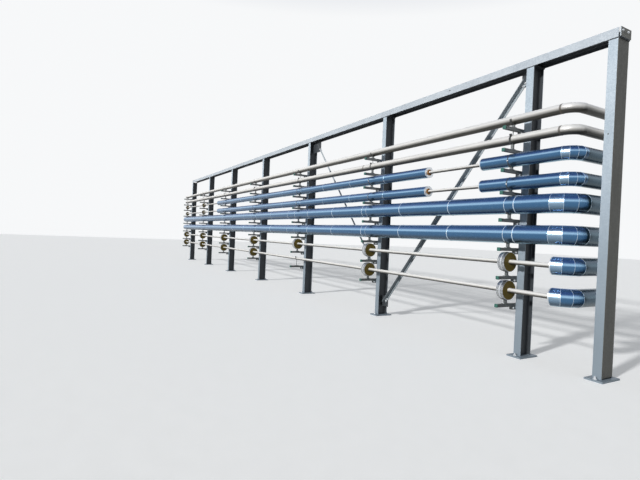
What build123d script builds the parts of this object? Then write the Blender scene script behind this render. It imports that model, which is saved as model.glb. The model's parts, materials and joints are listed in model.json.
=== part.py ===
"""Industrial pipe bridge: one row of posts under a flat top beam, with eight pipe lines on brackets in front.

Millimetres, +Z up. The row runs along X, from the near end post at X = 0 towards -X.
The pipes stand out to -Y, and at the near end they turn back between the posts to +Y.
The origin is the middle of the underside of the near end post's base plate.
"""
import os
from math import atan2, cos, degrees, hypot, radians, sin
from build123d import *

os.makedirs("parts", exist_ok=True)

# Row of posts
bay_pitch = 3000.0
bay_count = 6
end_bay = 990.0
beam_soffit = 3702.0

# Rolled I section of the posts and the top beam
section_depth = 200.0
section_width = 100.0
web_t = 5.6
flange_t = 8.5
root_bevel = 9.0

# Base and cap plates of a post
base_x = 200.0
base_y = 340.0
base_t = 20.0
anchor_pitch = 270.0
anchor_hole_d = 22.0
cap_x = 130.0
cap_t = 12.0

# Plate that closes the near end post on its outer side
side_plate_t = 6.0
side_plate_rise = 15.0

# Top beam, its end plate and its bolted splice
beam_past_post = 50.0
beam_stock = 12000.0
beam_joint_gap = 4.0
end_slot = 15.0
end_plate_t = 10.0
splice_l = 460.0
splice_w = 30.0
splice_t = 8.0
splice_edge = 1.0

# Bracket: channel arm beside the post, open side down, with a shoe at its root and a saddle under the pipe
arm_size = 41.0
arm_wall = 2.5
arm_reach = 355.0
arm_lap = 40.0
shoe_y = 70.0
shoe_z = 80.0
saddle_x = 40.0
saddle_y = 30.0
seat_gap = 0.3

# Pipes
line_reach = 180.0
turn_x = 264.0
stub_reach = 600.0
cut_past_post = 320.0
bare_wall = 3.0
mitre_count = 4
bore_gap = 0.3
flat_count = 12

# Stretches of lagging on the small lines, as distances from the near end post
near_lagging_end = 1562.0
far_lagging_start = 2544.0
far_lagging_end = 13860.0
collar_l = 14.0

# Foam blocks that carry bare pipe, and the one post and low line that have none
foam_l = 96.0
low_foam_d = 250.0
bare_support = (4, 8)

# Braces that meet at the third post: their sections, and their ends measured from the posts
standing_leg = 70.0
flat_leg = 45.0
brace_t = 6.0
flat_w = 40.0
angle_inset = 125.0
angle_drop = 100.0
angle_rise = 255.0
flat_inset = 230.0
flat_drop = 42.0
flat_rise = 675.0
foot_inset = 105.0

# Gussets, with a wider one at the top of the flat brace
gusset_x = 190.0
gusset_z = 190.0
gusset_t = 8.0
wide_gusset_x = 390.0
wide_gusset_z = 250.0


class PipeLine:
    """One pipe line: height of its axis, bare pipe, lagging, bend radius, and drop from the axis to its arms."""

    def __init__(self, number, z, pipe_d, lagged_d, bend_r, arm_drop):
        self.number = number
        self.z = z
        self.pipe_d = pipe_d
        self.lagged_d = lagged_d
        self.bend_r = bend_r
        self.arm_drop = arm_drop

    @property
    def bend_start(self):
        """Place along the row where the bend begins."""
        return -turn_x - self.bend_r

    @property
    def collar_x(self):
        """Place along the row where the lagging of the bend closes on the pipe."""
        return self.bend_start - collar_l


bare_lines = [
    PipeLine(1, 3004.0, 114.3, 114.3, 152.0, 93.0),
    PipeLine(2, 2758.0, 114.3, 114.3, 152.0, 125.0),
]
small_lines = [
    PipeLine(3, 2495.0, 48.3, 164.0, 143.0, 117.0),
    PipeLine(4, 2201.0, 48.3, 164.0, 143.0, 104.0),
]
large_lines = [
    PipeLine(5, 1932.0, 139.7, 230.0, 268.0, 177.0),
    PipeLine(6, 1564.0, 139.7, 230.0, 268.0, 174.0),
]
low_lines = [
    PipeLine(7, 1213.0, 60.3, 212.0, 227.0, 182.0),
    PipeLine(8, 855.0, 60.3, 212.0, 227.0, 175.0),
]

# Places worked out from the sizes above
shaft_top = beam_soffit - cap_t
front_y = -section_depth / 2
pipe_y = front_y - line_reach
stub_y = front_y + stub_reach
post_xs = [0.0] + [-end_bay - bay_pitch * k for k in range(bay_count + 1)]
bracket_xs = post_xs[1:]
cut_x = post_xs[-1] - cut_past_post


def box_between(low, high):
    """A box from its lowest to its highest corner."""
    size = [b - a for a, b in zip(low, high)]
    middle = [(a + b) / 2 for a, b in zip(low, high)]
    return Pos(*middle) * Box(*size)


def i_section():
    """Rolled I section: depth along the second axis, bevelled roots between web and flanges."""
    flange_middle = (section_depth - flange_t) / 2
    flanges = [Pos(0, side * flange_middle) * Rectangle(section_width, flange_t) for side in (-1, 1)]
    outline = Rectangle(web_t, 2 * flange_middle) + flanges
    roots = [v for v in outline.vertices() if abs(abs(v.X) - web_t / 2) < 0.01]
    return chamfer(roots, root_bevel)


def post(x):
    """A post on its base plate, with the cap plate that the beam lies on."""
    shaft = Pos(x, 0, base_t) * extrude(i_section(), shaft_top - base_t)
    base = Pos(x, 0, base_t / 2) * Box(base_x, base_y, base_t)
    for side in (-1, 1):
        base -= Pos(x, side * anchor_pitch / 2, base_t / 2) * Cylinder(anchor_hole_d / 2, base_t)
    cap = Pos(x, 0, shaft_top + cap_t / 2) * Box(cap_x, section_depth, cap_t)
    return shaft + base + cap


def side_plate(x):
    """A plate over the outer side of a post, with a drain gap under it."""
    near = x + section_width / 2
    low = base_t + side_plate_rise
    return box_between((near, front_y, low), (near + side_plate_t, -front_y, shaft_top))


def beam_lengths():
    """The top beam in stock lengths, with its web level and running on to a plate past its near end."""
    start = beam_past_post
    end = post_xs[-1] - beam_past_post
    level = beam_soffit + section_width / 2
    lengths = []
    while start > end:
        stop = max(start - beam_stock, end)
        bar = extrude(Plane.YZ * Rot(0, 0, 90) * i_section(), start - stop)
        lengths.append(Pos(stop, 0, level) * bar)
        start = stop - beam_joint_gap
    tongue = Box(end_slot, section_depth - 2 * flange_t, web_t)
    lengths[0] += Pos(beam_past_post + end_slot / 2, 0, level) * tongue
    plate = Box(end_plate_t, section_depth, section_width)
    lengths[0] += Pos(beam_past_post + end_slot + end_plate_t / 2, 0, level) * plate
    return lengths


def splice_plates(joint):
    """Four plates inside the flanges that join two lengths of beam."""
    level = beam_soffit + section_width / 2
    up = web_t / 2 + root_bevel + splice_edge + splice_w / 2
    out = section_depth / 2 - flange_t - splice_t / 2
    plate = Box(splice_l, splice_t, splice_w)
    return [Pos(joint, a * out, level + b * up) * plate for a in (-1, 1) for b in (-1, 1)]


def arm_middle(post_x):
    """Place along the row of the arms that lie against a post's front flange."""
    return post_x - (section_width + arm_size) / 2


def has_foam(post_number, line):
    """Whether a line lies in a foam block at a post: low lines do, and small ones past their lagging."""
    if line in low_lines:
        return (post_number, line.number) != bare_support
    return line in small_lines and post_xs[post_number - 1] < -far_lagging_end


def held_diameter(post_number, line):
    """Width of what lies on a bracket's saddle."""
    if line in low_lines:
        return low_foam_d if has_foam(post_number, line) else line.pipe_d
    return line.lagged_d


def bracket(post_x, line, held_d):
    """Channel arm, shoe and saddle in one weldment, under a round piece held_d across."""
    near = post_x - section_width / 2
    far = near - arm_size
    end_y = front_y - arm_reach
    root_y = front_y + arm_lap
    arm_top = line.z - line.arm_drop
    arm = box_between((far, end_y, arm_top - arm_size), (near, root_y, arm_top))
    hollow_low = (far + arm_wall, end_y, arm_top - arm_size)
    hollow_high = (near - arm_wall, root_y, arm_top - arm_wall)
    shoe = box_between((far, front_y - shoe_y, arm_top - shoe_z), (near, root_y, arm_top))
    middle = arm_middle(post_x)
    seat_z = line.z - held_d / 2 - seat_gap
    saddle_low = (middle - saddle_x / 2, pipe_y - saddle_y / 2, arm_top)
    saddle_high = (middle + saddle_x / 2, pipe_y + saddle_y / 2, seat_z)
    return arm - box_between(hollow_low, hollow_high) + shoe + box_between(saddle_low, saddle_high)


def along_row(near, far, z, diameter, bore=0.0):
    """A round bar or tube on a pipe's axis, from its near end to its far end."""
    length = near - far
    body = Cylinder(diameter / 2, length)
    if bore:
        body -= Cylinder(bore / 2, length)
    return Pos((near + far) / 2, pipe_y, z) * Rot(0, 90, 0) * body


def start_plane(line, x):
    """The plane across a pipe line at a place along the row, facing the bend."""
    return Plane(origin=(x, pipe_y, line.z), x_dir=(0, 1, 0), z_dir=(1, 0, 0))


def flats(line, far, near, across):
    """A bar with flats round a pipe's axis, from its far end to its near end."""
    outline = RegularPolygon(across / 2, flat_count, major_radius=False, rotation=180 / flat_count)
    return extrude(start_plane(line, far) * outline, near - far)


def pipe_room(line, far, near):
    """The room for a bare pipe in what is laid round it."""
    return flats(line, far, near, line.pipe_d + 2 * bore_gap)


def foam_block(post_x, line, held_d):
    """A block round a bare pipe over an arm."""
    middle = arm_middle(post_x)
    far, near = middle - foam_l / 2, middle + foam_l / 2
    return flats(line, far, near, held_d) - pipe_room(line, far, near)


def bare_pipe(line):
    """A tube along the row, welded to a long-radius elbow with its straight end to the back."""
    run = along_row(line.bend_start, cut_x, line.z, line.pipe_d, line.pipe_d - 2 * bare_wall)
    centre_y = pipe_y + line.bend_r
    across = start_plane(line, line.bend_start) * Circle(line.pipe_d / 2)
    axis = Axis((line.bend_start, centre_y, line.z), (0, 0, 1))
    bend = revolve(across, axis, 90)
    end = Plane(origin=(-turn_x, centre_y, line.z), x_dir=(1, 0, 0), z_dir=(0, 1, 0))
    return run + bend + extrude(end * Circle(line.pipe_d / 2), stub_y - centre_y)


def lagging(line, far):
    """Lagging from a place along the row to the back: one run, then gores mitred round the bend."""
    step = radians(90 / mitre_count)
    reach = line.bend_r / cos(step / 2)
    centre_y = pipe_y + line.bend_r
    corners = [(far, pipe_y, line.z)]
    for k in range(mitre_count):
        turned = step * (k + 0.5)
        corners.append((line.bend_start + reach * sin(turned), centre_y - reach * cos(turned), line.z))
    corners.append((-turn_x, stub_y, line.z))
    circle = start_plane(line, far) * Circle(line.lagged_d / 2)
    return sweep(circle, path=Polyline(*corners), transition=Transition.RIGHT)


def slope(top, foot):
    """Length and lean of a brace between two points (x, z)."""
    run, rise = top[0] - foot[0], top[1] - foot[1]
    return hypot(run, rise), degrees(atan2(run, rise))


def angle_brace(top, foot):
    """An angle with its flat leg against the gussets and its standing leg to the front at its upper edge."""
    length, lean = slope(top, foot)
    flat = box_between((0, 0, 0), (flat_leg, brace_t, length))
    standing = box_between((0, brace_t - standing_leg, 0), (brace_t, brace_t, length))
    return Pos(foot[0], 0, foot[1]) * Rot(0, lean, 0) * (flat + standing)


def flat_brace(top, foot):
    """A flat bar against the gussets."""
    length, lean = slope(top, foot)
    bar = box_between((-flat_w / 2, 0, 0), (flat_w / 2, brace_t, length))
    return Pos(foot[0], 0, foot[1]) * Rot(0, lean, 0) * bar


def gusset(post_x, side, out, low, high):
    """A plate on one side of a post's web, just behind the braces."""
    root = post_x + side * web_t / 2
    edge = root + side * out
    return box_between((min(root, edge), brace_t, low), (max(root, edge), brace_t + gusset_t, high))


def save(name, pieces):
    """Write one named piece, or several like pieces that don't touch."""
    if isinstance(pieces, list):
        pieces = Compound(children=[solid for piece in pieces for solid in piece.solids()])
    pieces.label = name
    export_step(pieces, f"parts/{name}.step")


# Braces
second, third, fourth = post_xs[1], post_xs[2], post_xs[3]
angle_top = (second - angle_inset, shaft_top - angle_drop)
angle_foot = (third + foot_inset, base_t + angle_rise)
flat_top = (fourth + flat_inset, shaft_top - flat_drop)
flat_foot = (third - foot_inset, base_t + flat_rise)
save("angle_brace", angle_brace(angle_top, angle_foot))
save("flat_brace", flat_brace(flat_top, flat_foot))

# Posts, with gussets where the braces end
half = gusset_z / 2
plates = {x: [] for x in post_xs}
plates[0.0].append(side_plate(0.0))
plates[second].append(gusset(second, -1, gusset_x, shaft_top - gusset_z, shaft_top))
plates[third].append(gusset(third, 1, gusset_x, angle_foot[1] - half, angle_foot[1] + half))
plates[third].append(gusset(third, -1, gusset_x, flat_foot[1] - half, flat_foot[1] + half))
plates[fourth].append(gusset(fourth, 1, wide_gusset_x, shaft_top - wide_gusset_z, shaft_top))
for k, x in enumerate(post_xs):
    save(f"post_{k + 1}", sum(plates[x], post(x)))

# Top beam
beams = beam_lengths()
for k, beam in enumerate(beams):
    save(f"top_beam_{k + 1}", beam)
step = beam_stock + beam_joint_gap
joints = [beam_past_post + beam_joint_gap / 2 - k * step for k in range(1, len(beams))]
save("beam_splice_plates", [plate for joint in joints for plate in splice_plates(joint)])

# Brackets and foam blocks at every post but the near end one
all_lines = bare_lines + small_lines + large_lines + low_lines
for k, x in enumerate(bracket_xs):
    number = k + 2
    brackets = [bracket(x, line, held_diameter(number, line)) for line in all_lines]
    save(f"brackets_at_post_{number}", brackets)
    held = [line for line in all_lines if has_foam(number, line)]
    save(f"foam_blocks_at_post_{number}", [foam_block(x, line, held_diameter(number, line)) for line in held])

# Bare lines
for line in bare_lines:
    save(f"bare_pipe_{line.number}", bare_pipe(line))

# Pipes inside the lagging and foam
for line in small_lines + low_lines:
    bore = line.pipe_d - 2 * bare_wall
    save(f"core_pipe_{line.number}", along_row(line.collar_x, cut_x, line.z, line.pipe_d, bore))

# Lagging
for line in small_lines:
    room = pipe_room(line, -near_lagging_end, line.collar_x)
    save(f"near_lagging_{line.number}", lagging(line, -near_lagging_end) - room)
    far = along_row(-far_lagging_start, -far_lagging_end, line.z, line.lagged_d)
    room = pipe_room(line, -far_lagging_end, -far_lagging_start)
    save(f"far_lagging_{line.number}", far - room)
for line in large_lines:
    save(f"lagging_{line.number}", lagging(line, cut_x))
save("elbow_lagging", [lagging(line, line.collar_x) for line in low_lines])
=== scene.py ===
"""Looks of the pipe bridge: finishes for the steelwork, and finer pieces over its pipes and lagging.

Metres, in the frame's own axes: the row runs along X to -X, the pipes hang to -Y, +Z is up.
New pieces are rings or outlines of points carried along a path, made as whole arrays.
"""
import json

import bpy
import numpy as np
from mathutils import Matrix, Vector


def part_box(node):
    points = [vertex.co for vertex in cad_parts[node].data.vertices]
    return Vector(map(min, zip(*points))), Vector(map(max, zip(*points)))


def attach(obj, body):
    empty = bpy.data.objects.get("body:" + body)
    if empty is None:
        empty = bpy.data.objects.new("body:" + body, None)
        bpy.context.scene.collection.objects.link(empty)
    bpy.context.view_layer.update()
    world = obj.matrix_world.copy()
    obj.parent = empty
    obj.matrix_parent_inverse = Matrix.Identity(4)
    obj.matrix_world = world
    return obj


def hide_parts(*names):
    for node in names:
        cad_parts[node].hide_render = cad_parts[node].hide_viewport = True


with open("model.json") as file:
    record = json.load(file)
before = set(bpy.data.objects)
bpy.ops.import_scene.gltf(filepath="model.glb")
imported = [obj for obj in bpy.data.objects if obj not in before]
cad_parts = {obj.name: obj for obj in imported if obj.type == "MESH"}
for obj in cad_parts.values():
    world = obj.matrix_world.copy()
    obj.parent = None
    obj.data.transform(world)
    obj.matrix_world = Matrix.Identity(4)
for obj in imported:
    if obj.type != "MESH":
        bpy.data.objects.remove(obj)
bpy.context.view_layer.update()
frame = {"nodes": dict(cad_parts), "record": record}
nodes = frame["nodes"]

# Photograph's camera
IMAGE_W = 640
FOCAL_PX = 443.8
SENSOR_MM = 36.0
EYE = (2.688, -5.115, 1.45)
YAW, PITCH, ROLL = np.radians([29.27, 0.64, 2.45])

# The row, and its lines of pipe, numbered from the top
END_BAY = 0.990
BAY = 3.000
WHOLE_BAYS = 6
POST_X = [0.0] + [-END_BAY - BAY * bay for bay in range(WHOLE_BAYS + 1)]
BARE_LINES = (1, 2)
SMALL_LINES = (3, 4)
LARGE_LINES = (5, 6)
LOW_LINES = (7, 8)
LAGGED_LINES = SMALL_LINES + LARGE_LINES + LOW_LINES

# Shapes of the lines that the frame's boxes don't give
PIPE_D = {1: 0.1143, 2: 0.1143, 3: 0.0483, 4: 0.0483, 5: 0.1397, 6: 0.1397, 7: 0.0603, 8: 0.0603}
BEND_R = {1: 0.152, 2: 0.152, 3: 0.143, 4: 0.143, 5: 0.268, 6: 0.268, 7: 0.227, 8: 0.227}
LAGGING_R = {3: 0.082, 4: 0.082, 5: 0.115, 6: 0.115, 7: 0.106, 8: 0.106}
ARM_DROP = {1: 0.093, 2: 0.125, 3: 0.117, 4: 0.104, 5: 0.177, 6: 0.174, 7: 0.182, 8: 0.175}
MITRES = 4
MITRE_TURN = np.pi / 2 / MITRES

# Where finishes change along the lines: axes of their runs, heights round the two bare ones, and heights
# round the first gores with a painted glint of each pair of lagged ones, by its first line
ROW_Y = -0.280
BACK_X = -0.264
UNDER_BARE_Z = 2.60
BETWEEN_BARE_Z = 2.88
OVER_BARE_Z = 3.20
BEHIND_FRAME_Y = -0.12
GLINT_GORE_Z = {3: (2.05, 2.70), 5: (1.40, 2.05), 7: (0.60, 1.40)}

# Pipes: welds by their distance before the bend, a stock length apart, and one more on line 2. An elbow's
# edge and the hidden turns are angles in radians
WALL = 0.003
OPEN_DEPTH = 0.30
WELD_W = 0.010
WELD_H = 0.0018
BEAD_CREST = 0.4
WELD_STAIN = 0.0134
BARE_WELDS = (18.0, 12.0, 6.0, 0.0)
INNER_WELDS = (17.0, 11.0, 5.0)
ELBOW_WELD = BACK_X - BEND_R[1]
FIELD_WELD = -4.300
ELBOW_EDGE = 0.04
ELBOW_STEPS = 28
HIDDEN_TURNS = (0.12, 0.24, 0.36)
STUB_L = 0.20
STUB_BORE_L = 0.15

# Sheet lagging: its ends, laps and ridges at the seams. A band is its width and how far it stands out,
# and its foot is sunk under the surface
NEAR_LAGGING_END = -1.505
FAR_LAGGING = (-2.544, -13.860)
LARGE_SEAM = -0.9235
LARGE_SHEET = 1.092
SMALL_SHEET = 1.077
SHEET_T = 0.0012
LAP_W = 0.030
LAP_EDGE = 0.001
LAP_H = 0.0010
RIDGE_W = 0.012
RIDGE_H = 0.0020
ROW_END_CLEAR = 0.05
BEND_CLEAR = 0.02
LAST_SEAM_CLEAR = 0.1
SUNK = 0.001
SMALL_SEAM_BAND = (0.013, 0.0016)
LARGE_SEAM_BAND = (0.011, 0.0022)
GORE_BAND = (0.003, 0.0012)
RIM_BAND = (0.012, 0.0008)

# Hollow ends of the lagging. Those of the low bends are distances past the first mitre
END_RECESS = 0.022
PLUG_T = 0.04
ELBOW_RIM = (0.001, 0.011)
ELBOW_PLUG = (0.020, 0.042)
ELBOW_HOLLOW = 0.045
COLLAR_T = 0.022
COLLAR_OUT = 0.012
COLLAR_IN = 0.050
COLLAR_EDGE_ALONG = 0.004
COLLAR_EDGE_DOWN = 0.006

# Arms on the posts. A shoe is the places of its two ends along Y, and its height
POST_HALF_W = 0.050
ARM_SIZE = 0.041
ARM_WALL = 0.0025
ARM_LIP = 0.009
ARM_TIP = -0.455
SHOE = (-0.170, -0.060, 0.080)
SHOE_CORNER = 0.003
SHOE_CHAMFER = 0.002
ARM_IN_SHOE = 0.004
ARM_IN_CAP = 0.0015
CAP_SIZE = ARM_SIZE + 0.005
CAP_CORNER = 0.006
CAP_DEEP = 0.017
CAP_PROFILE = [(0, 0.97), (0.001, 1), (0.014, 1), (0.0162, 0.96), (CAP_DEEP, 0.90)]

# Seats and clamps on the arms. A plate is its sides and corner radius, a bent strip is the angles of its
# ends in degrees and its width, a nut is its width across and its height. The bare support is the post and
# the line that have no foam
FOOT = (0.040, 0.096, 0.004)
FOOT_T = 0.005
FOOT_CHAMFER = 0.0005
PEDESTAL = (0.036, 0.028, 0.003)
PEDESTAL_STRIP = (-125, -55, 0.040)
PEDESTAL_IN_STRIP = 0.001
HIGH_SEAT = 0.10
ROD_R = 0.006
ROD_STRIP = (-150, -30, 0.024)
ROD_PAST_STRIP = 0.004
STRIP_T = 0.003
SLING = (172, 368, 0.030)
SLING_T = 0.005
CLAMP_W = 0.028
CLAMP_T = 0.004
CLAMP_LEAN = np.radians(128)
LUGS = (0.030, 0.018, 0.002)
LUGS_OUT = 0.028
LUGS_CHAMFER = 0.002
HANGER_R = 0.005
HANGER_NUT = (0.017, 0.008)
HANGER_NUT_UP = 0.004
BARE_SUPPORT = (4, 8)

# Straps, and the foam blocks with their skins
STRAP_T = 0.002
FOAM_STRAP_W = 0.016
SMALL_STRAP_W = 0.012
LARGE_STRAP_W = 0.007
FOAM_R = 0.125
FOAM_HALF = 0.048
FOAM_UNDER = 0.0015
FOAM_EDGE = 0.004
SKIN_LIP = 0.005
SKIN_OVER = 0.0006
SKIN_TURNED_IN = 0.008

# Fasteners: diameters, and the parts of a bolt as shares of its diameter
SMALL_BOLT = 0.010
SHOE_BOLT = 0.012
END_PLATE_BOLT = 0.013
BRACE_BOLT = 0.016
ANCHOR_BOLT = 0.020
WASHER_R = 1.1
WASHER_T = 0.15
HEX_ACROSS = 1.6
HEAD_H = 0.65
NUT_H = 0.8
THREAD_R = 0.48
THREAD_OUT = 1.05

# Places of bolts. A brace is (x, z) of the top and the foot of its middle line, the shift of its bolts
# across it, and how far its last bolt is from the top
FOOT_BOLT_Y = 0.032
SHOE_BOLT_IN = 0.026
SHOE_BOLT_DOWN = 0.058
STRAP_BOLT_DOWN = 0.010
BASE_T = 0.020
ANCHOR_Y = 0.135
ANCHOR_THREAD_R = 0.0095
ANCHOR_THREAD_L = 0.034
SPLICE_X = -11.952
BEAM_Z = 3.752
FLANGE_Y = 0.100
SPLICE_ALONG = (-0.17, -0.06, 0.06, 0.17)
SPLICE_UP = 0.028
END_PLATE_X = 0.075
END_PLATE_BOLT_Y = (-0.068, 0.038)
END_PLATE_BOLT_Z = 3.768
BRACES = [((-1.115, 3.590), (-3.885, 0.275), 0.0225, 0.035),
          ((-6.760, 3.648), (-4.095, 0.695), 0.0, 0.205)]
BRACE_EDGE = 0.035
BRACE_PITCH = 0.050
BRACE_GRIP = 0.014

# Marks on the steelwork, by the limits of their places: painted shade and a painted highlight. A hole is its
# x, z and radius
RECESS_SHADE_Y = (-0.0912, 0.0935)
RECESS_SHADE_POST_Z = (0.021, 3.689)
RECESS_SHADE_BEAM_X = 0.051
CLOSING_PLATE_X = 0.0495
CLOSING_PLATE_Z = 0.030
HIGHLIGHT_EDGE_Y = 0.095
HIGHLIGHT_EDGE_TOP = 3.40
JOINT_Z = (3.6885, 3.7025)
END_SHADE_X = 0.0745
END_SHADE_Y = -0.0995
BRACE_SHADE_X = -6.0
BRACE_SHADE_Z = 3.51
FRONT_FACE_Y = -0.099
POST_HOLE = (-0.007, 2.673, 0.00775)
BEAM_HOLE = (-2.370, 3.760, 0.01095)

# Points round a ring, and the angle from which an edge is sharp
ROUND = 64
STRAP_ROUND = 56
BAND_ROUND = 48
PIPE_ROUND = 40
SHARP_ANGLE = np.radians(10.5)


class Wire:
    """A socket of a node. Arithmetic on wires adds Math nodes."""

    def __init__(self, maker, socket):
        self.maker = maker
        self.socket = socket

    def math(self, operation, *values):
        """A Math node on wires or numbers."""
        return self.maker.node("ShaderNodeMath", {"operation": operation}, dict(enumerate(values)))

    def __add__(self, other):
        return self.math("ADD", self, other)

    def __sub__(self, other):
        return self.math("SUBTRACT", self, other)

    def __rsub__(self, other):
        return self.math("SUBTRACT", other, self)

    def __mul__(self, other):
        return self.math("MULTIPLY", self, other)

    def __gt__(self, other):
        return self.math("GREATER_THAN", self, other)

    def __lt__(self, other):
        return self.math("LESS_THAN", self, other)

    __radd__ = __add__
    __rmul__ = __mul__


class Nodes:
    """A tree of nodes, the world's or a material's."""

    def __init__(self, tree):
        self.tree = tree

    def node(self, kind, settings=None, inputs=None, out=0):
        """Adds a node: first its settings, such as an operation or a ramp's stops, then the values or links
        of its sockets. Returns one output."""
        made = self.tree.nodes.new(kind)
        for key, value in (settings or {}).items():
            if key == "stops":
                for element, (position, colour) in zip(made.color_ramp.elements, value):
                    element.position = position
                    element.color = (*colour, 1.0)
            else:
                setattr(made, key, value)
        for key, value in (inputs or {}).items():
            if isinstance(value, Wire):
                self.tree.links.new(value.socket, made.inputs[key])
            else:
                made.inputs[key].default_value = value
        return Wire(self, made.outputs[out])

    def coordinate(self, place, letter):
        """One of the three numbers of a place or a direction."""
        return self.node("ShaderNodeSeparateXYZ", {}, {0: place}, letter)

    def span(self, factor, low, high, to_low=0.0, to_high=1.0):
        """Maps a span of values to another, held at both ends."""
        return self.node("ShaderNodeMapRange", {"clamp": True},
                         {0: factor, 1: low, 2: high, 3: to_low, 4: to_high})

    def looked_at(self):
        """1 where a camera, glossy or transmission ray looks, 0 for light that falls on the object."""
        camera, glossy, passing = [self.node("ShaderNodeLightPath", out=f"Is {name} Ray")
                                   for name in ("Camera", "Glossy", "Transmission")]
        return self.span(camera + glossy + passing, 0.0, 1.0)


class Finish(Nodes):
    """A node material on Object coordinates."""

    def __init__(self, name, **constants):
        self.material = bpy.data.materials.new(name)
        self.material.use_nodes = True
        super().__init__(self.material.node_tree)
        self.shader = self.tree.nodes["Principled BSDF"]
        for socket, value in constants.items():
            self.shader.inputs[socket.replace("_", " ")].default_value = value
        self.place = self.node("ShaderNodeTexCoord", out="Object")

    def axis(self, letter):
        """One coordinate of the place on the piece."""
        return self.coordinate(self.place, letter)

    def noise(self, scale, detail=2.0, stretch=(1, 1, 1), rough=0.5):
        """Smooth noise, scale features a metre, drawn out along an axis by a small stretch."""
        where = self.node("ShaderNodeMapping", {}, {0: self.place, "Scale": stretch})
        return self.node("ShaderNodeTexNoise", {},
                         {0: where, "Scale": scale, "Detail": detail, "Roughness": rough})

    def cells(self, scale, out="Color"):
        """Voronoi cells, scale cells a metre."""
        return self.node("ShaderNodeTexVoronoi", {}, {0: self.place, "Scale": scale}, out)

    def facing_up(self):
        """How far the surface faces up, from -1 to 1."""
        return self.coordinate(self.node("ShaderNodeNewGeometry", out="Normal"), "Z")

    def mix(self, factor, first, second):
        """Mixes two colours, each a wire or three numbers."""
        ends = [c if isinstance(c, Wire) else (*c, 1.0) for c in (first, second)]
        return self.node("ShaderNodeMix", {"data_type": "RGBA"}, {0: factor, 6: ends[0], 7: ends[1]}, 2)

    def bump(self, height, strength, distance):
        """A normal from a height."""
        return self.node("ShaderNodeBump", {}, {"Height": height, "Strength": strength, "Distance": distance})

    def wear(self, **sockets):
        """Links what varies over the surface to the shader."""
        for socket, wire in sockets.items():
            self.tree.links.new(wire.socket, self.shader.inputs[socket.replace("_", " ")])
        return self.material


def galvanised(name, light, dark, metallic=0.25, foot=1.0, marks=None):
    """Hot-dip zinc: crystal spangle a centimetre across, cloudy patches, darker towards the ground."""
    f = Finish(name, Metallic=metallic)
    spangle = f.node("ShaderNodeSeparateColor", {}, {0: f.cells(85.0)})
    clouds = f.noise(3.0, 4.0, (1, 1, 0.35))
    grain = f.noise(240.0, 2.0)
    shade = clouds * 0.55 + spangle * 0.28 + grain * 0.17
    zinc = f.mix(f.span(shade, 0.28, 0.72), dark, light)
    if foot < 1.0:
        low_darkening = f.span(f.axis("Z") + clouds * 0.4, 0.6, 3.3, 1.0, 0.0)
        zinc = f.mix(low_darkening, zinc, [c * foot for c in dark])
    if marks:
        zinc = marks(f, zinc)
    return f.wear(
        Base_Color=zinc,
        Roughness=f.span(spangle + clouds * 0.6, 0.2, 1.4, 0.42, 0.62),
        Normal=f.bump(grain * 0.5 + spangle * 0.5, 0.08, 0.001),
    )


def paint_recess_shade(f, zinc, y, part):
    """Painted shade: dark zinc in the channel between the two flanges, on one part of the length."""
    recess_dark = f.mix(f.noise(9.0, 4.0, (1, 1, 0.3)), (0.034, 0.039, 0.045), (0.066, 0.075, 0.084))
    front, back = RECESS_SHADE_Y
    return f.mix((y > front) * (y < back) * part, zinc, recess_dark)


def drilled(f, zinc, place, hole):
    """A dark round hole in the front face: where x and z are within its radius of its middle."""
    x, y, z = place
    across, above = x - hole[0], z - hole[1]
    inside = across * across + above * above < hole[2] ** 2
    return f.mix(inside * (y < FRONT_FACE_Y), zinc, (0.01, 0.01, 0.012))


def post_marks(f, zinc):
    """On the posts: painted shade between the flanges and on the closing plate, a painted highlight along the
    plate's rear edge, the joint under the beam, one drilled hole."""
    place = [f.axis(letter) for letter in "XYZ"]
    x, y, z = place
    low, high = RECESS_SHADE_POST_Z
    zinc = paint_recess_shade(f, zinc, y, (z > low) * (z < high))
    # Painted shade: the closing plate on the end post's side away from the light is made dark
    side_shade = f.mix(f.noise(14.0, 5.0, (1, 1, 0.15)), (0.062, 0.063, 0.056), (0.110, 0.110, 0.096))
    plate = (x > CLOSING_PLATE_X) * (z > CLOSING_PLATE_Z)
    zinc = f.mix(plate, zinc, side_shade)
    # Painted highlight: a bright line along the closing plate's rear edge, below a set height
    zinc = f.mix(plate * (y > HIGHLIGHT_EDGE_Y) * (z < HIGHLIGHT_EDGE_TOP), zinc, (0.70, 0.72, 0.72))
    low, high = JOINT_Z
    zinc = f.mix((z > low) * (z < high), zinc, (0.045, 0.050, 0.058))
    return drilled(f, zinc, place, POST_HOLE)


def beam_marks(f, zinc):
    """On the beam: painted shade between the flanges and on the end plate, one drilled hole in the front
    flange.
    """
    place = [f.axis(letter) for letter in "XYZ"]
    x, y = place[:2]
    zinc = paint_recess_shade(f, zinc, y, x < RECESS_SHADE_BEAM_X)
    # Painted shade: the end plate at the beam's end is made dark
    side_shade = f.mix(f.noise(14.0, 5.0), (0.085, 0.087, 0.078), (0.190, 0.190, 0.170))
    zinc = f.mix((x > END_SHADE_X) * (y > END_SHADE_Y), zinc, side_shade)
    return drilled(f, zinc, place, BEAM_HOLE)


def brace_marks(f, zinc):
    """On the flat brace: painted shade on its top end, dark like the gusset behind it."""
    top_end = (f.axis("X") < BRACE_SHADE_X) * (f.axis("Z") > BRACE_SHADE_Z)
    return f.mix(top_end, zinc, (0.085, 0.092, 0.098))


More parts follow.
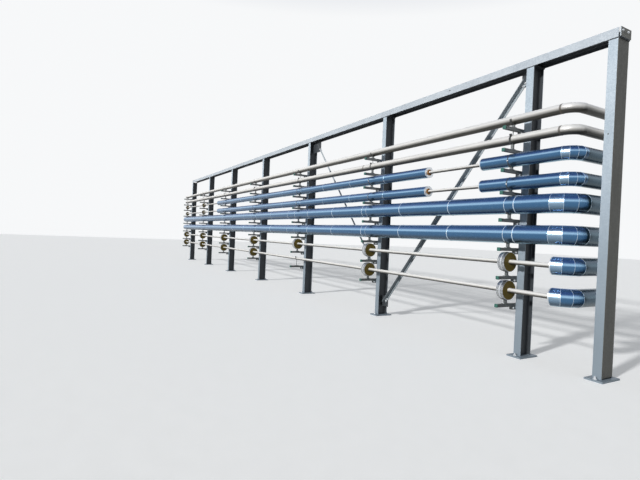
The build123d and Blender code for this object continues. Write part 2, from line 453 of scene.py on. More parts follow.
def pipe_steel(name):
    """Pickled stainless pipe: drawn along the row, painted light and shade that make its upper half pale and
    its underside dark, and brown stains at the welds where the elbows begin and at the one more on line 2."""
    f = Finish(name, Metallic=0.25)
    drawn = f.noise(60.0, 3.0, (0.03, 1, 1))
    clouds = f.noise(5.0, 3.0, (0.5, 1, 1))
    shade = drawn * 0.4 + clouds * 0.6
    up = f.facing_up() + (shade - 0.5) * 0.3
    # Painted shade and painted light: dark underside, pale upper half
    metal = f.mix(f.span(up, -0.55, 0.25), (0.045, 0.042, 0.034), (0.84, 0.82, 0.78))
    metal = f.mix(f.span(up, 0.25, 0.75), metal, (0.94, 0.92, 0.88))
    x, z = f.axis("X"), f.axis("Z")
    for weld, top in ((ELBOW_WELD, OVER_BARE_Z), (FIELD_WELD, BETWEEN_BARE_Z)):
        near = (x - weld) * (x - weld) < WELD_STAIN ** 2
        stain = near * (z > UNDER_BARE_Z) * (z < top) * 0.8
        metal = f.mix(stain, metal, (0.085, 0.070, 0.055))
    return f.wear(
        Base_Color=metal,
        Roughness=f.span(shade, 0.3, 0.7, 0.32, 0.46),
        Normal=f.bump(drawn, 0.05, 0.001),
    )


def filmed_sheet(name):
    """Aluminium lagging sheet under blue protective film: slight waves, dust and paler scuffs. Painted light
    on it:
    a pale highlight stripe a little above the middle; a painted reflection that darkens the top and the lower
    half and is pale at the very bottom; painted shade behind the frame; a pale painted glint on the first
    whole gore of each bend, which is the wedge between the planes of its first two mitres through its centre."""
    f = Finish(name, Metallic=0.82, Coat_Weight=0.25, Coat_Roughness=0.22)
    waves = f.noise(7.0, 2.0, (0.25, 1, 1))
    dust = f.noise(28.0, 5.0, (0.4, 1, 1), 0.6)
    scuffs = f.span(f.noise(160.0, 3.0, (0.08, 1, 1)), 0.66, 0.74)
    # Painted highlight: this paler blue is the stripe where the film faces a little upwards
    blue = f.mix(f.span(waves * 0.6 + dust * 0.4, 0.3, 0.7), (0.265, 0.475, 0.700), (0.360, 0.570, 0.780))
    up = f.facing_up()
    # Painted reflection: a navy top, darker blue below the stripe, darker still on the lower half, pale at
    # the bottom
    film = f.mix(f.span(up, 0.26, 0.46), blue, (0.110, 0.220, 0.440))
    film = f.mix(f.span(up, 0.02, 0.16, 1.0, 0.0), film, (0.055, 0.155, 0.300))
    film = f.mix(f.span(up, -0.62, -0.30, 1.0, 0.0), film, (0.050, 0.095, 0.150))
    film = f.mix(f.span(up, -0.93, -0.86, 1.0, 0.0), film, (0.300, 0.520, 0.640))
    x, y, z = [f.axis(letter) for letter in "XYZ"]
    # Painted glint: the first whole gore of each bend is paler, most of all a little above its middle
    gore_glint = f.span(up, -0.70, 0.25, 0.06, 0.55) * f.span(up, 0.42, 0.62, 1.0, 0.1)
    for number, (low, high) in GLINT_GORE_Z.items():
        reach = BEND_R[number]
        out, side = x - (BACK_X - reach), ROW_Y + reach - y
        wedge = (out > side * np.tan(MITRE_TURN * 0.5)) * (out < side * np.tan(MITRE_TURN * 1.5))
        gore = wedge * (side > 0.0) * (z > low) * (z < high)
        film = f.mix(gore * gore_glint, film, (0.56, 0.70, 0.76))
    # Painted shade: the film on the runs behind the frame is made dark
    film = f.mix((y > BEHIND_FRAME_Y) * 0.85, film, (0.026, 0.062, 0.080))
    return f.wear(
        Base_Color=f.mix(scuffs * 0.3, film, (0.42, 0.54, 0.66)),
        Roughness=f.span(dust + scuffs, 0.3, 1.0, 0.22, 0.36),
        Normal=f.bump(waves, 0.10, 0.004),
    )


def bright_sheet(name):
    """Bare aluminium where the film is cut away."""
    f = Finish(name, Metallic=0.85)
    marks = f.noise(90.0, 4.0)
    return f.wear(
        Base_Color=f.mix(marks, (0.62, 0.66, 0.70), (0.86, 0.89, 0.92)),
        Roughness=f.span(marks, 0.3, 0.7, 0.22, 0.40),
        Normal=f.bump(marks, 0.06, 0.001),
    )


def foil(name):
    """Aluminium foil skin: crumpled facets, grey folds."""
    f = Finish(name, Metallic=0.9)
    facets = f.cells(55.0, "Distance")
    folds = f.noise(30.0, 3.0)
    return f.wear(
        Base_Color=f.mix(f.span(facets + folds, 0.5, 1.1), (0.78, 0.80, 0.82), (0.34, 0.35, 0.36)),
        Roughness=f.span(folds, 0.3, 0.7, 0.22, 0.38),
        Normal=f.bump(facets + folds, 0.55, 0.004),
    )


def foam(name, dark, light):
    """Cut rigid foam: fine open cells, darker pits and stains."""
    f = Finish(name)
    pits = f.cells(420.0, "Distance")
    stain = f.noise(22.0, 4.0)
    shade = stain * 0.6 + pits * 0.8
    return f.wear(
        Base_Color=f.mix(f.span(shade, 0.25, 0.85), dark, light),
        Roughness=f.span(stain, 0.3, 0.7, 0.75, 0.95),
        Normal=f.bump(pits, 0.35, 0.002),
    )


def rubber_foam(name):
    """Black elastic insulation."""
    f = Finish(name)
    grain = f.noise(200.0, 3.0)
    return f.wear(
        Base_Color=f.mix(grain, (0.012, 0.012, 0.013), (0.040, 0.040, 0.042)),
        Roughness=f.span(grain, 0.3, 0.7, 0.7, 0.9),
        Normal=f.bump(grain, 0.2, 0.001),
    )


def plastic(name, light, dark):
    """Moulded plastic with a fine texture and a little dust."""
    f = Finish(name)
    grain = f.noise(500.0, 2.0)
    dust = f.noise(40.0, 4.0)
    return f.wear(
        Base_Color=f.mix(f.span(dust, 0.35, 0.75), dark, light),
        Roughness=f.span(dust, 0.3, 0.7, 0.38, 0.58),
        Normal=f.bump(grain, 0.06, 0.0005),
    )


FILM = filmed_sheet("blue_filmed_sheet")
BRIGHT = bright_sheet("bright_sheet")
PIPE = pipe_steel("stainless_pipe")
FOAM = foam("cut_foam", (0.040, 0.027, 0.002), (0.150, 0.105, 0.010))
COLLAR_FOAM = foam("collar_foam", (0.16, 0.062, 0.012), (0.36, 0.17, 0.045))
INSULATION = rubber_foam("black_insulation")
ZINC = galvanised("bright_zinc", (0.78, 0.80, 0.82), (0.58, 0.60, 0.62), 0.5)
# Painted shade: the clamps, hanger rods and slings are near black
SHADED_CLAMP = galvanised("shaded_clamp_steel", (0.080, 0.082, 0.080), (0.030, 0.031, 0.030), 0.3)
SEAM = galvanised("seam_edge", (0.78, 0.87, 0.94), (0.60, 0.72, 0.82), 0.6)
FOIL = foil("crumpled_foil")
CAP_GREEN = plastic("green_cap", (0.055, 0.190, 0.150), (0.030, 0.115, 0.090))
# Painted shade: the arms' zinc is made darker than the bright zinc
SHADED_ARM_ZINC = galvanised("shaded_bracket_zinc", (0.28, 0.29, 0.29), (0.12, 0.13, 0.13), 0.3, 0.8)
SLOT_FINISH = {
    "post_steel": galvanised("post_zinc", (0.60, 0.68, 0.74), (0.40, 0.48, 0.55), 0.2, 0.62, post_marks),
    "beam_steel": galvanised("beam_zinc", (0.62, 0.67, 0.71), (0.44, 0.49, 0.54), 0.2, 1.0, beam_marks),
    "plate_steel": galvanised("plate_zinc", (0.58, 0.62, 0.66), (0.40, 0.44, 0.48)),
    "bracket_steel": SHADED_ARM_ZINC,
    "brace_steel": galvanised("brace_zinc", (0.52, 0.57, 0.60), (0.33, 0.38, 0.41), 0.2, 0.7, brace_marks),
    "pipe_steel": PIPE,
    "foam": FOAM,
    "lagging_sheet": FILM,
}
for entry in frame["record"]["subparts"]:
    nodes[entry["node"]].data.materials.clear()
    nodes[entry["node"]].data.materials.append(SLOT_FINISH[entry["material_slot"]])


def piece(name, lofts, finish, replaced=()):
    """One object from lofts. A loft is rings of points (rings, points, 3): four-sided faces join each ring
    to the next, closed round, and one face caps each end."""
    points, faces, start = [], [], 0
    for rings in lofts:
        count, around = rings.shape[:2]
        index = start + np.arange(count * around).reshape(count, around)
        ahead = np.roll(index, -1, axis=1)
        quads = np.stack([index[:-1], ahead[:-1], ahead[1:], index[1:]], axis=-1).reshape(-1, 4)
        points.append(rings.reshape(-1, 3))
        faces += quads.tolist() + [index[0][::-1].tolist(), index[-1].tolist()]
        start += count * around
    mesh = bpy.data.meshes.new(name)
    mesh.from_pydata(np.concatenate(points).tolist(), [], faces)
    mesh.materials.append(finish)
    mesh.polygons.foreach_set("use_smooth", np.ones(len(mesh.polygons), dtype=bool))
    mesh.set_sharp_from_angle(angle=SHARP_ANGLE)
    mesh.update()
    made = bpy.data.objects.new(name, mesh)
    bpy.context.scene.collection.objects.link(made)
    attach(made, "root")
    if replaced:
        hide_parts(*replaced)
    return made


class Line:
    """The path of one pipe line: from -X along the row, round the bend, and off to +Y.

    A station on it is (centre, direction, stretch, radius): the place and the size of one ring."""

    def __init__(self, number):
        self.pipe_r = PIPE_D[number] / 2
        self.bend_r = BEND_R[number]
        self.lagging_r = LAGGING_R.get(number, self.pipe_r)
        if number in BARE_LINES:
            low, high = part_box(f"bare_pipe_{number}")
        elif number in LARGE_LINES:
            low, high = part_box(f"lagging_{number}")
        else:
            low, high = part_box(f"core_pipe_{number}")
        self.z = (low.z + high.z) / 2
        self.y = low.y + ((high.z - low.z) / 2 if number in LARGE_LINES else self.pipe_r)
        self.row_end = low.x
        self.arm_top = self.z - ARM_DROP[number]
        if number in SMALL_LINES:
            low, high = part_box(f"near_lagging_{number}")
        elif number in LOW_LINES:
            low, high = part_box("elbow_lagging")
        self.turn_x = high.x - self.lagging_r
        self.bend_x = self.turn_x - self.bend_r
        self.back_end = high.y

    def rings(self, stations, around=ROUND):
        """Rings at stations: centre + radius x (cos, sin) in the plane across the direction, the level part
        times the stretch, which is the mitre's 1 / cos where two gores meet."""
        angle = np.linspace(0, 2 * np.pi, around, endpoint=False)
        centre, way, stretch, radius = [np.array(part, dtype=float) for part in zip(*stations)]
        level = np.stack([-way[:, 1], way[:, 0], np.zeros(len(way))], axis=-1) * stretch[:, None]
        up = np.array([0.0, 0.0, 1.0])
        wide = np.cos(angle)[None, :, None] * level[:, None, :]
        high = np.sin(angle)[None, :, None] * up
        return centre[:, None, :] + radius[:, None, None] * (wide + high)

    def row(self, x, radius):
        """A station on the straight run."""
        return ((x, self.y, self.z), (1, 0, 0), 1.0, radius)

    def back(self, y, radius):
        """A station on the way off to the back."""
        return ((self.turn_x, y, self.z), (0, 1, 0), 1.0, radius)

    def turned(self, angle, radius, reach=None, stretch=1.0):
        """A station on the bend: its centre + reach x (sin, -cos) of the angle from where it begins."""
        reach = reach or self.bend_r
        x = self.bend_x + reach * np.sin(angle)
        y = self.y + self.bend_r - reach * np.cos(angle)
        return ((x, y, self.z), (np.cos(angle), np.sin(angle), 0), stretch, radius)

    def mitre(self, k, radius):
        """The k-th seam of the bend, on the corner of the gores' axes: the bend's radius over the cos of half
        a mitre's turn from its centre."""
        longer = 1 / np.cos(MITRE_TURN / 2)
        return self.turned(MITRE_TURN * (k + 0.5), radius, self.bend_r * longer, longer)

    def past_seam(self, k, distance, radius):
        """A station cut like the k-th seam, moved along the gore that follows it."""
        centre, way, stretch, radius = self.mitre(k, radius)
        turn = MITRE_TURN * (k + 1)
        centre = np.array(centre) + distance * np.array([np.cos(turn), np.sin(turn), 0.0])
        return (centre, way, stretch, radius)


lines = {number: Line(number) for number in BARE_LINES + LAGGED_LINES}


def bead(station, place, r, width, height):
    """Stations of a low ridge round a run: out to its height and in again, over its width."""
    half, crest = width / 2, width / 2 * BEAD_CREST
    return [station(place - half, r), station(place - crest, r + height),
            station(place + crest, r + height), station(place + half, r)]


def open_end(line):
    """Stations of a pipe's open end on the row: out along its bore, then over the rim to its outside."""
    bore = line.pipe_r - WALL
    return [line.row(line.row_end + OPEN_DEPTH, bore), line.row(line.row_end, bore),
            line.row(line.row_end, line.pipe_r)]


def bare_line(line):
    """Open tube end, run with its welds, long-radius elbow between two welds, open tube end."""
    r, bore, end = line.pipe_r, line.pipe_r - WALL, line.back_end
    welds = [line.bend_x - before for before in BARE_WELDS]
    if line.z < BETWEEN_BARE_Z:
        welds.append(FIELD_WELD)
    stations = open_end(line)
    for x in sorted(welds):
        stations += bead(line.row, x, r, WELD_W, WELD_H)
    turns = np.linspace(ELBOW_EDGE, np.pi / 2 - ELBOW_EDGE, ELBOW_STEPS)
    stations += [line.turned(angle, r) for angle in turns]
    stations += bead(line.back, line.y + line.bend_r, r, WELD_W, WELD_H)
    stations += [line.back(end, r), line.back(end, bore), line.back(end - OPEN_DEPTH, bore)]
    return line.rings(stations)


def inner_line(line):
    """The bare pipe of a lagged line, open at the row's end, up to where the bend's lagging hides it."""
    stations = open_end(line)
    for before in INNER_WELDS:
        stations += bead(line.row, line.bend_x - before, line.pipe_r, WELD_W, WELD_H)
    stations.append(line.row(line.bend_x, line.pipe_r))
    stations += [line.turned(angle, line.pipe_r) for angle in HIDDEN_TURNS]
    return line.rings(stations, PIPE_ROUND)


def hollow_end(line, station, end, inward):
    """Stations of a sheet's end: over its edge, and in to where the insulation hides it."""
    inside, deep = line.lagging_r - SHEET_T, 2 * END_RECESS
    return [station(end, line.lagging_r), station(end, inside), station(end + inward * deep, inside)]


def sheet_run(line, far, near, seams):
    """Stations of sheet lagging along the row: a hollow end, then a lap and a ridge at each seam."""
    r = line.lagging_r
    stations = hollow_end(line, line.row, far, 1)[::-1]
    for x in sorted(x for x in seams if far + ROW_END_CLEAR < x < near - BEND_CLEAR):
        stations += [line.row(x - LAP_W, r - LAP_H), line.row(x - LAP_W + LAP_EDGE, r)]
        stations += bead(line.row, x, r, RIDGE_W, RIDGE_H)
    return stations


def seam_places(first, far, sheet):
    """Seams a sheet apart from the first one."""
    return list(np.arange(first, far, -sheet))


def bend_stations(line):
    """Stations from the first mitre of the bend through its gores to the hollow end at the back."""
    mitres = [line.mitre(k, line.lagging_r) for k in range(MITRES)]
    return mitres + hollow_end(line, line.back, line.back_end, -1)


def plug(line, station, end, inward):
    """Insulation inside a hollow end: a short cylinder, set back from the sheet's edge."""
    start, stop = sorted([end + inward * END_RECESS, end + inward * (END_RECESS + PLUG_T)])
    r = line.lagging_r - SHEET_T
    return line.rings([station(start, r), station(stop, r)], BAND_ROUND)


def stub(line, station, end, inward):
    """Stations of a pipe's open end inside a hollow end: along its outside, over the rim, into its bore."""
    r, bore = line.pipe_r, line.pipe_r - WALL
    return [station(end + inward * STUB_L, r), station(end, r), station(end, bore),
            station(end + inward * STUB_BORE_L, bore)]


def hoop(line, x, r, width, lift, around):
    """A thin ring round the run: from just under a surface of radius r to lift above it."""
    half, low, high = width / 2, r - SUNK, r + lift
    return line.rings([line.row(x - half, low), line.row(x - half, high),
                       line.row(x + half, high), line.row(x + half, low)], around)


def gore_band(line, k, width, lift):
    """A thin ring over the k-th seam of the bend, in the plane of the mitre."""
    centre, way, stretch, r = line.mitre(k, line.lagging_r)
    half, low, high = np.array(way) * (width / 2), r - SUNK, r + lift
    before, after = np.array(centre) - half, np.array(centre) + half
    return line.rings([(before, way, stretch, low), (before, way, stretch, high),
                       (after, way, stretch, high), (after, way, stretch, low)], BAND_ROUND)


def elbow_rim(line):
    """A thin ring round the cut start of a low line's bend lagging."""
    start, stop = ELBOW_RIM
    low, high = line.lagging_r - SUNK, line.lagging_r + RIM_BAND[1]
    return line.rings([line.past_seam(0, start, low), line.past_seam(0, start, high),
                       line.past_seam(0, stop, high), line.past_seam(0, stop, low)], BAND_ROUND)


def spun(origin, axis, profile, sides=12, turn=0.0):
    """A profile of (along, radius) spun round an axis through origin, with a given number of sides."""
    origin, axis = np.array(origin, dtype=float), np.array(axis, dtype=float)
    side = np.cross(axis, [0.0, 0.0, 1.0] if abs(axis[2]) < 0.9 else [1.0, 0.0, 0.0])
    side /= np.linalg.norm(side)
    other = np.cross(axis, side)
    angle = np.linspace(0, 2 * np.pi, sides, endpoint=False) + turn
    along, radius = np.array(profile, dtype=float).T
    round_part = np.cos(angle)[:, None] * side + np.sin(angle)[:, None] * other
    return origin + along[:, None, None] * axis + radius[:, None, None] * round_part[None]


def washer(origin, axis, r, t):
    """Flat disc of radius r and thickness t, its outer edge broken."""
    return spun(origin, axis, [(0, r), (t * 0.7, r), (t, r * 0.94)], 16)


def nut(origin, axis, across, height, turn=0.3):
    """Hexagon, across / sqrt 3 from its axis to its corners, which are turned off at the top."""
    r = across / np.sqrt(3)
    return spun(origin, axis, [(0, r), (height * 0.85, r), (height, r * 0.88)], 6, turn)


def stud(origin, axis, r, length):
    """Round bar of radius r with a chamfered end."""
    return spun(origin, axis, [(0, r), (length - r * 0.3, r), (length, r * 0.75)], 12)


def bolt(origin, axis, d, grip=0.0):
    """Washer and hexagon head on a face, and on the far side of the grip a washer, a nut and the thread's
    end, all as shares of the diameter d."""
    origin, axis = np.array(origin, dtype=float), np.array(axis, dtype=float)
    lift = axis * d * WASHER_T
    parts = [washer(origin, axis, d * WASHER_R, d * WASHER_T),
             nut(origin + lift, axis, d * HEX_ACROSS, d * HEAD_H)]
    if grip:
        back = origin - axis * grip
        parts += [washer(back, -axis, d * WASHER_R, d * WASHER_T),
                  nut(back - lift, -axis, d * HEX_ACROSS, d * NUT_H),
                  stud(back, -axis, d * THREAD_R, d * THREAD_OUT)]
    return parts


def rounded(wide, high, r, steps=3):
    """Rectangle with round corners: corner centres plus r x (cos, sin), anticlockwise."""
    turn = (np.arange(4)[:, None] * np.pi / 2 + np.linspace(0, np.pi / 2, steps)).ravel()
    right = np.repeat([1, -1, -1, 1], steps) * (wide / 2 - r) + r * np.cos(turn)
    above = np.repeat([1, 1, -1, -1], steps) * (high / 2 - r) + r * np.sin(turn)
    return np.stack([right, above], axis=-1)


def straight(outline, origin, across, up, stations):
    """An outline carried straight along across x up: each station is (distance, size of the outline)."""
    across, up = np.array(across, dtype=float), np.array(up, dtype=float)
    along, size = np.array(stations, dtype=float).T
    flat = outline[:, :1] * across + outline[:, 1:] * up
    return np.array(origin) + along[:, None, None] * np.cross(across, up) + size[:, None, None] * flat[None]


def arc_strip(x, line, r, low, high, wide, thick, steps=24):
    """A flat strip bent round a line: its section, wide along X and thick outwards from radius r, turned
    about the line from low to high degrees."""
    angle = np.radians(np.linspace(low, high, steps))[:, None]
    along = np.array([-wide / 2, wide / 2, wide / 2, -wide / 2])
    reach = r + np.array([0, 0, thick, thick])
    return np.stack([np.broadcast_to(x + along, (steps, 4)), line.y + reach * np.cos(angle),
                     line.z + reach * np.sin(angle)], axis=-1)


def arm(x, line):
    """Strut channel, open below, from the shoe to the cap, and the shoe that holds it at the post."""
    w, t, lip = ARM_SIZE, ARM_WALL, ARM_LIP
    outline = np.array([(0, 0), (lip, 0), (lip, t), (t, t), (t, w - t), (w - t, w - t),
                        (w - t, t), (w - lip, t), (w - lip, 0), (w, 0), (w, w), (0, w)])
    low, high, deep = SHOE
    root = low + ARM_IN_SHOE
    bar = straight(outline, (x - w / 2, root, line.arm_top - w), (1, 0, 0), (0, 0, 1),
                   [(0, 1), (root - ARM_TIP - ARM_IN_CAP, 1)])
    shoe = straight(rounded(w, deep, SHOE_CORNER), (x, high, line.arm_top - deep / 2), (1, 0, 0), (0, 0, 1),
                    [(0, 1), (high - low - SHOE_CHAMFER, 1), (high - low, 0.95)])
    return [bar, shoe]


def arm_cap(x, line):
    """Plastic cap over the tip of an arm: a rounded square, turned in at its face."""
    return straight(rounded(CAP_SIZE, CAP_SIZE, CAP_CORNER, 4),
                    (x, ARM_TIP + CAP_DEEP, line.arm_top - ARM_SIZE / 2), (1, 0, 0), (0, 0, 1), CAP_PROFILE)


def seat(x, line, held):
    """What carries a round of radius held: foot plate, pedestal or tall rod, and a strip bent to it."""
    base = (x, line.y, line.arm_top)
    foot = straight(rounded(*FOOT), base, (1, 0, 0), (0, 1, 0),
                    [(0, 1), (FOOT_T - FOOT_CHAMFER, 1), (FOOT_T, 0.98)])
    tall = line.z - held - line.arm_top
    if tall > HIGH_SEAT:
        rod = stud(base, (0, 0, 1), ROD_R, tall + ROD_PAST_STRIP)
        return [foot, rod, arc_strip(x, line, held, *ROD_STRIP, STRIP_T)]
    pedestal = straight(rounded(*PEDESTAL), base, (1, 0, 0), (0, 1, 0),
                        [(0, 1), (tall + PEDESTAL_IN_STRIP, 1)])
    return [foot, pedestal, arc_strip(x, line, held, *PEDESTAL_STRIP, STRIP_T)]


def sling(line, x):
    """Strip bent round the lower half of a bare pipe, from its pedestal up to both sides."""
    return [arc_strip(x, line, line.pipe_r, *SLING, SLING_T)]


def pipe_clamp(line, x):
    """Clamp round a bare pipe: a ring, and its lugs as one block at its front upper quarter."""
    r = line.pipe_r
    round_the_pipe = (0, np.sin(CLAMP_LEAN), -np.cos(CLAMP_LEAN))
    lugs = straight(rounded(*LUGS), (x, line.y, line.z), (1, 0, 0), round_the_pipe,
                    [(r + SUNK, 1), (r + LUGS_OUT - LUGS_CHAMFER, 1), (r + LUGS_OUT, 0.9)])
    return [lugs, hoop(line, x, r, CLAMP_W, CLAMP_T, PIPE_ROUND)]


def hanger(x):
    """Threaded rod from the clamp on line 2 up to the arm of line 1, and the nut at its foot."""
    line = lines[2]
    top = line.z + line.pipe_r
    rod = stud((x, line.y, top), (0, 0, 1), HANGER_R, lines[1].arm_top - ARM_WALL - top)
    return rod, nut((x, line.y, top + HANGER_NUT_UP), (0, 0, 1), *HANGER_NUT)


def strap(line, x, r, width):
    """A thin band round lagging or a block."""
    return hoop(line, x, r, width, STRAP_T, STRAP_ROUND)


def foam_block(line, x, r):
    """Foam round a pipe, a little under its skin of radius r."""
    edge, full = r - FOAM_EDGE, r - FOAM_UNDER
    return line.rings([line.row(x - FOAM_HALF, edge), line.row(x - FOAM_HALF, full),
                       line.row(x + FOAM_HALF, full), line.row(x + FOAM_HALF, edge)])


def skin(line, x, r):
    """Foil over a foam block's round, turned in over the edge of both faces."""
    lip, edge, inner = r - SKIN_LIP, FOAM_HALF + SKIN_OVER, FOAM_HALF - SKIN_TURNED_IN
    return line.rings([line.row(x - inner, lip), line.row(x - edge, lip), line.row(x - edge, r),
                       line.row(x + edge, r), line.row(x + edge, lip), line.row(x + inner, lip)])


def collar(line, x, inward):
    """Foam round the pipe in a hollow end, standing a little out of it, its edges broken."""
    start, stop = sorted([x - inward * COLLAR_OUT, x + inward * COLLAR_IN])
    full = line.pipe_r + COLLAR_T
    edge = full - COLLAR_EDGE_DOWN
    return line.rings([line.row(start, edge), line.row(start + COLLAR_EDGE_ALONG, full),
                       line.row(stop - COLLAR_EDGE_ALONG, full), line.row(stop, edge)], PIPE_ROUND)


def arm_bolts(x, line):
    """Two bolts down through the foot plate, and one across the shoe under the arm."""
    parts = []
    for side in (-1, 1):
        parts += bolt((x, line.y + side * FOOT_BOLT_Y, line.arm_top + FOOT_T), (0, 0, 1), SMALL_BOLT)
    spot = (x + ARM_SIZE / 2, SHOE[0] + SHOE_BOLT_IN, line.arm_top - SHOE_BOLT_DOWN)
    return parts + bolt(spot, (1, 0, 0), SHOE_BOLT, ARM_SIZE)


def anchors(x):
    """Two anchors on a base plate: washer, nut and thread."""
    parts = []
    for side in (-1, 1):
        spot = (x, side * ANCHOR_Y, BASE_T)
        parts += bolt(spot, (0, 0, 1), ANCHOR_BOLT)
        parts.append(stud(spot, (0, 0, 1), ANCHOR_THREAD_R, ANCHOR_THREAD_L))
    return parts


def splice_bolts():
    """Two rows of bolts through the splice plates on both flanges."""
    parts = []
    for along in SPLICE_ALONG:
        for height in (-SPLICE_UP, SPLICE_UP):
            for side in (-1, 1):
                spot = (SPLICE_X + along, side * FLANGE_Y, BEAM_Z + height)
                parts += bolt(spot, (0, side, 0), SMALL_BOLT)
    return parts


def brace_bolts(top, foot, shift, last):
    """Two bolts at either end of a brace: its foot + distance x direction + shift across it."""
    run, rise = top[0] - foot[0], top[1] - foot[1]
    length = np.hypot(run, rise)
    way = np.array([run, rise]) / length
    across = np.array([way[1], -way[0]]) * shift
    parts = []
    for along in (BRACE_EDGE, BRACE_EDGE + BRACE_PITCH, length - last - BRACE_PITCH, length - last):
        x, z = np.array(foot) + way * along + across
        parts += bolt((x, 0.0, z), (0, -1, 0), BRACE_BOLT, BRACE_GRIP)
    return parts


# Bare lines and the pipes inside the lagging
for n in BARE_LINES:
    piece(f"pipe_{n}", [bare_line(lines[n])], PIPE, [f"bare_pipe_{n}"])
for n in SMALL_LINES + LOW_LINES:
    piece(f"inner_pipe_{n}", [inner_line(lines[n])], PIPE, [f"core_pipe_{n}"])

# Sheet lagging with its seams
rims, edges, plugs, collars, stubs, elbows = [], [], [], [], [], []
for n in SMALL_LINES:
    line = lines[n]
    near = sheet_run(line, NEAR_LAGGING_END, line.bend_x, []) + bend_stations(line)
    piece(f"near_sheet_{n}", [line.rings(near)], FILM, [f"near_lagging_{n}"])
    stop, start = FAR_LAGGING
    seams = seam_places(stop, start, SMALL_SHEET)[1:]
    far = sheet_run(line, start, stop, seams) + hollow_end(line, line.row, stop, -1)
    piece(f"far_sheet_{n}", [line.rings(far)], FILM, [f"far_lagging_{n}"])
    width, lift = RIM_BAND
    for x, inward in ((NEAR_LAGGING_END, 1), (start, 1), (stop, -1)):
        plugs.append(plug(line, line.row, x, inward))
        collars.append(collar(line, x, inward))
        rims.append(hoop(line, x + inward * width / 2, line.lagging_r, width, lift, BAND_ROUND))
    width, lift = SMALL_SEAM_BAND
    edges += [hoop(line, x, line.lagging_r, width, lift, BAND_ROUND) for x in seams]
for n in LARGE_LINES:
    line = lines[n]
    seams = seam_places(LARGE_SEAM, line.row_end + LAST_SEAM_CLEAR, LARGE_SHEET)
    run = sheet_run(line, line.row_end, line.bend_x, seams) + bend_stations(line)
    piece(f"sheet_{n}", [line.rings(run)], FILM, [f"lagging_{n}"])
    plugs.append(plug(line, line.row, line.row_end, 1))
    width, lift = LARGE_SEAM_BAND
    edges += [hoop(line, x, line.lagging_r, width, lift, BAND_ROUND) for x in seams]
    stubs.append(line.rings(stub(line, line.row, line.row_end, 1)[::-1], PIPE_ROUND))
for n in LOW_LINES:
    line = lines[n]
    inside = line.lagging_r - SHEET_T
    hollow = [line.past_seam(0, ELBOW_HOLLOW, inside), line.past_seam(0, 0.0, inside)]
    elbows.append(line.rings(hollow + bend_stations(line)))
    plugs.append(line.rings([line.past_seam(0, distance, inside) for distance in ELBOW_PLUG], BAND_ROUND))
    rims.append(elbow_rim(line))
piece("elbow_sheets", elbows, FILM, ["elbow_lagging"])
for n in LAGGED_LINES:
    line = lines[n]
    plugs.append(plug(line, line.back, line.back_end, -1))
    stubs.append(line.rings(stub(line, line.back, line.back_end, -1), PIPE_ROUND))
    first = 1 if n in LOW_LINES else 0
    edges += [gore_band(line, k, *GORE_BAND) for k in range(first, MITRES)]
piece("sheet_end_rims", rims, BRIGHT)
piece("seam_bands", edges, SEAM)
piece("insulation_ends", plugs, INSULATION)
piece("foam_collars", collars, COLLAR_FOAM)
piece("pipe_stubs", stubs, PIPE)

# Arms on every post but the near end one, with what holds each line on them
caps, clamps, straps, foils, fixings, large_straps = [], [], [], [], [], []
for number, post_x in enumerate(POST_X[1:], start=2):
    x = post_x - POST_HALF_W - ARM_SIZE / 2
    arms, blocks = [], []
    for n, line in lines.items():
        bare = n in BARE_LINES or (number, n) == BARE_SUPPORT
        foamed = (n in LOW_LINES and not bare) or (n in SMALL_LINES and post_x < FAR_LAGGING[1])
        held = line.pipe_r if bare else (FOAM_R if n in LOW_LINES else line.lagging_r)
        arms += arm(x, line) + seat(x, line, held)
        caps.append(arm_cap(x, line))
        fixings += arm_bolts(x, line)
        if foamed:
            blocks.append(foam_block(line, x, held))
            foils.append(skin(line, x, held))
            straps.append(strap(line, x, held, FOAM_STRAP_W))
        elif bare:
            clamps += sling(line, x) if n == 1 else pipe_clamp(line, x)
        elif n in SMALL_LINES:
            clamps.append(strap(line, x, held, SMALL_STRAP_W))
            front = line.y - held - STRAP_T
            fixings += bolt((x, front, line.z - STRAP_BOLT_DOWN), (0, -1, 0), SMALL_BOLT)
        else:
            large_straps.append(strap(line, x, held, LARGE_STRAP_W))
        if n == 2:
            rod, rod_nut = hanger(x)
            clamps.append(rod)
            fixings.append(rod_nut)
    piece(f"arms_at_post_{number}", arms, SHADED_ARM_ZINC, [f"brackets_at_post_{number}"])
    piece(f"foam_at_post_{number}", blocks, FOAM, [f"foam_blocks_at_post_{number}"])
piece("arm_caps", caps, CAP_GREEN)
piece("pipe_clamps", clamps, SHADED_CLAMP)
piece("foam_straps", straps, ZINC)
piece("arm_straps", large_straps, SEAM)
piece("foam_skins", foils, FOIL)
piece("arm_fixings", fixings, ZINC)

# Anchors, splice bolts, end plate bolts and brace bolts
frame_bolts = []
for x in POST_X:
    frame_bolts += anchors(x)
frame_bolts += splice_bolts()
for y in END_PLATE_BOLT_Y:
    frame_bolts += bolt((END_PLATE_X, y, END_PLATE_BOLT_Z), (1, 0, 0), END_PLATE_BOLT)
for brace in BRACES:
    frame_bolts += brace_bolts(*brace)
piece("frame_bolts", frame_bolts, ZINC)

# Camera: its own axes from yaw, pitch and roll
yaw_way = Vector((-np.cos(YAW), np.sin(YAW), 0))
look = yaw_way * np.cos(PITCH) - Vector((0, 0, np.sin(PITCH)))
right = look.cross(Vector((0, 0, 1))).normalized()
up = right.cross(look)
rolled_right = right * np.cos(ROLL) + up * np.sin(ROLL)
rolled_up = up * np.cos(ROLL) - right * np.sin(ROLL)
camera = bpy.data.objects.new("camera", bpy.data.cameras.new("camera"))
camera.data.sensor_width = SENSOR_MM
camera.data.lens = FOCAL_PX / IMAGE_W * SENSOR_MM
turn = Matrix((rolled_right, rolled_up, -look)).transposed()
camera.matrix_world = Matrix.Translation(EYE) @ turn.to_4x4()
bpy.context.scene.collection.objects.link(camera)
bpy.context.scene.camera = camera

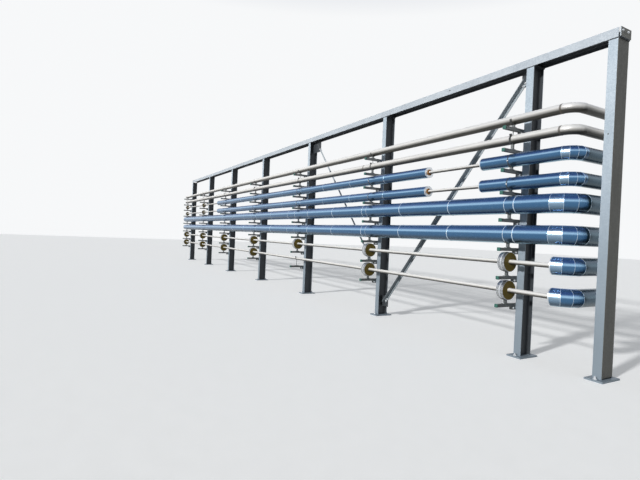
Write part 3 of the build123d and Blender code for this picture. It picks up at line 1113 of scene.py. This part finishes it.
# Daylight: one low sun from the front, a dim even sky, and a pale backdrop that the camera and the metal see
SUN_FROM = Vector((0.19, -0.90, 0.42))
sun = bpy.data.objects.new("sun", bpy.data.lights.new("sun", "SUN"))
sun.data.energy = 3.0
sun.data.angle = np.radians(4)
sun.rotation_euler = SUN_FROM.to_track_quat("Z", "Y").to_euler()
bpy.context.scene.collection.objects.link(sun)

world = bpy.data.worlds.new("sky")
world.use_nodes = True
bpy.context.scene.world = world
sky = Nodes(world.node_tree)
sky.tree.nodes.remove(sky.tree.nodes["Background"])
SKY_STOPS = [(0.44, (0.93, 0.94, 0.95)), (0.72, (0.050, 0.110, 0.270))]
height = sky.coordinate(sky.node("ShaderNodeTexCoord", out="Generated"), "Z")
sky_colour = sky.node("ShaderNodeValToRGB", {"stops": SKY_STOPS}, {0: height})
backdrop = sky.node("ShaderNodeBackground", {}, {"Color": sky_colour})
fill = sky.node("ShaderNodeBackground", {}, {"Color": (0.84, 0.92, 1.0, 1), "Strength": 0.20})
both = sky.node("ShaderNodeMixShader", {}, {0: sky.looked_at(), 1: fill, 2: backdrop})
sky.tree.links.new(both.socket, sky.tree.nodes["World Output"].inputs["Surface"])

# Floor: pale and glowing a little where it is looked at, plain grey in the light that it throws back
FLOOR_HALF = 60.0
corners = [(x * FLOOR_HALF, y * FLOOR_HALF, 0) for x, y in ((-1, -1), (1, -1), (1, 1), (-1, 1))]
floor_mesh = bpy.data.meshes.new("floor")
floor_mesh.from_pydata(corners, [], [(0, 1, 2, 3)])
floor = bpy.data.objects.new("floor", floor_mesh)
bpy.context.scene.collection.objects.link(floor)
ground = Finish("pale_floor", Roughness=0.9, Emission_Strength=1.0)
seen = ground.looked_at()
speckle = ground.mix(ground.noise(6.0, 6.0), (0.80, 0.80, 0.79), (0.90, 0.90, 0.89))
floor_mesh.materials.append(ground.wear(
    Base_Color=ground.mix(seen, (0.28, 0.28, 0.28), speckle),
    Emission_Color=ground.mix(seen, (0.0, 0.0, 0.0), (0.26, 0.26, 0.26)),
))

bpy.context.scene.view_settings.view_transform = "Standard"
